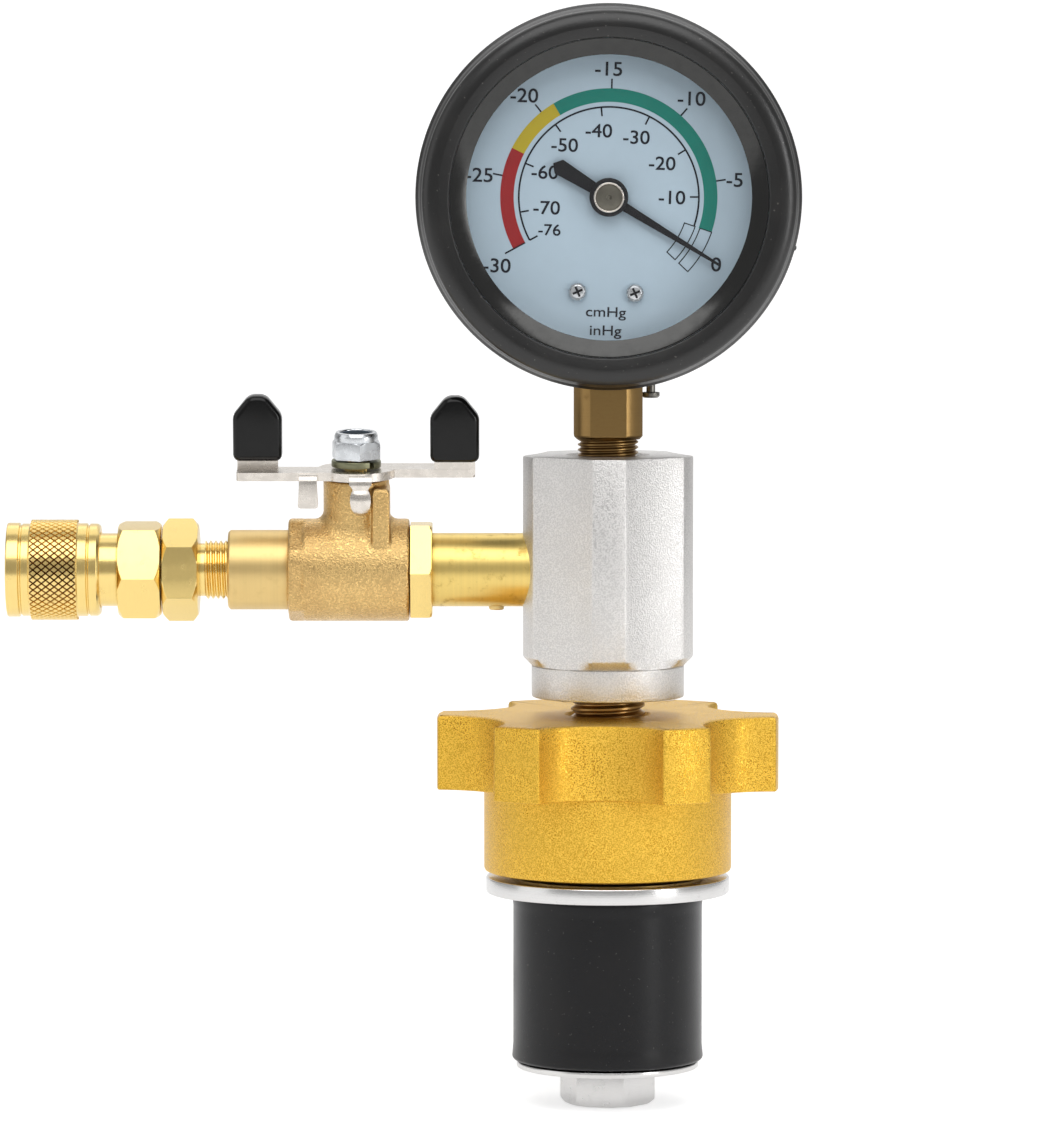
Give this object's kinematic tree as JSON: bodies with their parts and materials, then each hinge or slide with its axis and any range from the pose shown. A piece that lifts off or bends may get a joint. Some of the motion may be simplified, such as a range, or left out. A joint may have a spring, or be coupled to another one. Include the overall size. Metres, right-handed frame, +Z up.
{
  "type": "coolant vacuum filler",
  "caption": "Radiator vacuum-fill head: dial vacuum gauge, ported body with a lever ball valve and hose coupler, and a star knob that squeezes a rubber neck stopper.",
  "frame": {"origin": "centre of the clamp flange's underside, which rests on the rim of the radiator's filler neck", "axes": "+Z up along the centre tube toward the gauge, -Y the way the dial faces, -X along the hose arm"},
  "size_m": [0.1421, 0.0582, 0.1977],
  "materials": {
    "blasted_silver": "bead blasted and anodised",
    "gold_anodised": "bead blasted, gold anodised",
    "bright_aluminium": "turned bright",
    "yellow_brass": "turned bright",
    "cast_brass": "sand cast",
    "olive_brass": "milled, darkened",
    "spring_bronze": "drawn",
    "nickel_plate": "nickel plated",
    "zinc_plate": "zinc plated",
    "olive_steel": "hardened, olive",
    "grey_steel": "rolled",
    "black_rubber": "matte",
    "black_vinyl": "dipped, glossy",
    "white_plastic": "plain",
    "blue_nylon": "plain",
    "dial_paint": "printed",
    "black_paint": "satin",
    "clear_lens": "clear"
  },
  "bodies": {
    "root": {"centre_tube": "bright_aluminium", "bottom_nut": "bright_aluminium", "bottom_washer": "bright_aluminium", "rubber_stopper": "black_rubber", "manifold_body": "blasted_silver", "gauge_socket": "olive_brass", "gauge_case": "black_paint", "gauge_bezel": "grey_steel", "gauge_boot": "black_rubber", "gauge_dial": "dial_paint", "gauge_lens": "clear_lens", "lens_gasket": "black_rubber", "dial_screw_left": "zinc_plate", "dial_screw_right": "zinc_plate", "case_screw": "zinc_plate", "movement_frame": "yellow_brass", "movement_screw_left": "zinc_plate", "movement_screw_right": "zinc_plate", "bourdon_tube": "spring_bronze", "hairspring": "spring_bronze", "side_pipe": "yellow_brass", "pipe_pin": "yellow_brass", "valve_body": "cast_brass", "ball_seat_left": "white_plastic", "ball_seat_right": "white_plastic", "stem_packing": "white_plastic", "valve_end_nut": "yellow_brass", "nipple_adapter": "yellow_brass", "coupler_body": "yellow_brass", "coupler_seal": "black_rubber", "sleeve_retaining_ring": "zinc_plate"},
    "clamp_plate": {"clamp_flange": "bright_aluminium", "thrust_washer": "cast_brass"},
    "star_knob": {"star_knob": "gold_anodised"},
    "handle": {"valve_handle": "nickel_plate", "wing_sleeve_left": "black_vinyl", "wing_sleeve_right": "black_vinyl", "spring_washer": "olive_steel", "lock_nut": "zinc_plate", "nut_insert": "blue_nylon", "valve_stem": "yellow_brass", "valve_ball": "bright_aluminium"},
    "pointer": {"pointer": "black_paint", "pointer_cap": "nickel_plate", "pinion_arbor": "yellow_brass"},
    "sector": {"sector_gear": "yellow_brass"},
    "link": {"movement_link": "yellow_brass"},
    "coupler_sleeve": {"coupler_sleeve": "yellow_brass"}
  },
  "joints": [
    {"name": "clamp_slide", "type": "slide", "parent": "root", "child": "clamp_plate", "axis": [0, 0, -1], "range_m": [0, 0.0041], "deforming": ["rubber_stopper"]},
    {"name": "knob_turn", "type": "hinge", "parent": "clamp_plate", "child": "star_knob", "pos_m": [0, 0, 0.02], "axis": [0, 0, -1], "range_deg": [0, 960]},
    {"name": "handle_turn", "type": "hinge", "parent": "root", "child": "handle", "pos_m": [-0.0451, 0, 0.0581], "axis": [0, 0.1045, -0.9945], "range_deg": [0, 90]},
    {"name": "pointer_turn", "type": "hinge", "parent": "root", "child": "pointer", "pos_m": [0, 0, 0.1251], "axis": [0, -1, 0], "range_deg": [0, 240], "stiffness_Nm_per_rad": 0.0001},
    {"name": "sector_turn", "type": "hinge", "parent": "root", "child": "sector", "pos_m": [0.01052, 0, 0.12127], "axis": [0, 1, 0], "range_deg": [0, 41]},
    {"name": "link_turn", "type": "hinge", "parent": "sector", "child": "link", "pos_m": [0.01258, 0, 0.11563], "axis": [0, -1, 0], "range_deg": [0, 41]},
    {"name": "sleeve_spin", "type": "hinge", "parent": "root", "child": "coupler_sleeve", "pos_m": [-0.1, 0, 0.0581], "axis": [1, 0, 0], "continuous": true}
  ],
  "couplings": [
    {"joint": "clamp_slide", "follows": "knob_turn", "m_per_rad": 0.00023873},
    {"joint": "sector_turn", "follows": "pointer_turn", "ratio": 0.16667},
    {"joint": "link_turn", "follows": "pointer_turn", "ratio": 0.16667}
  ]
}
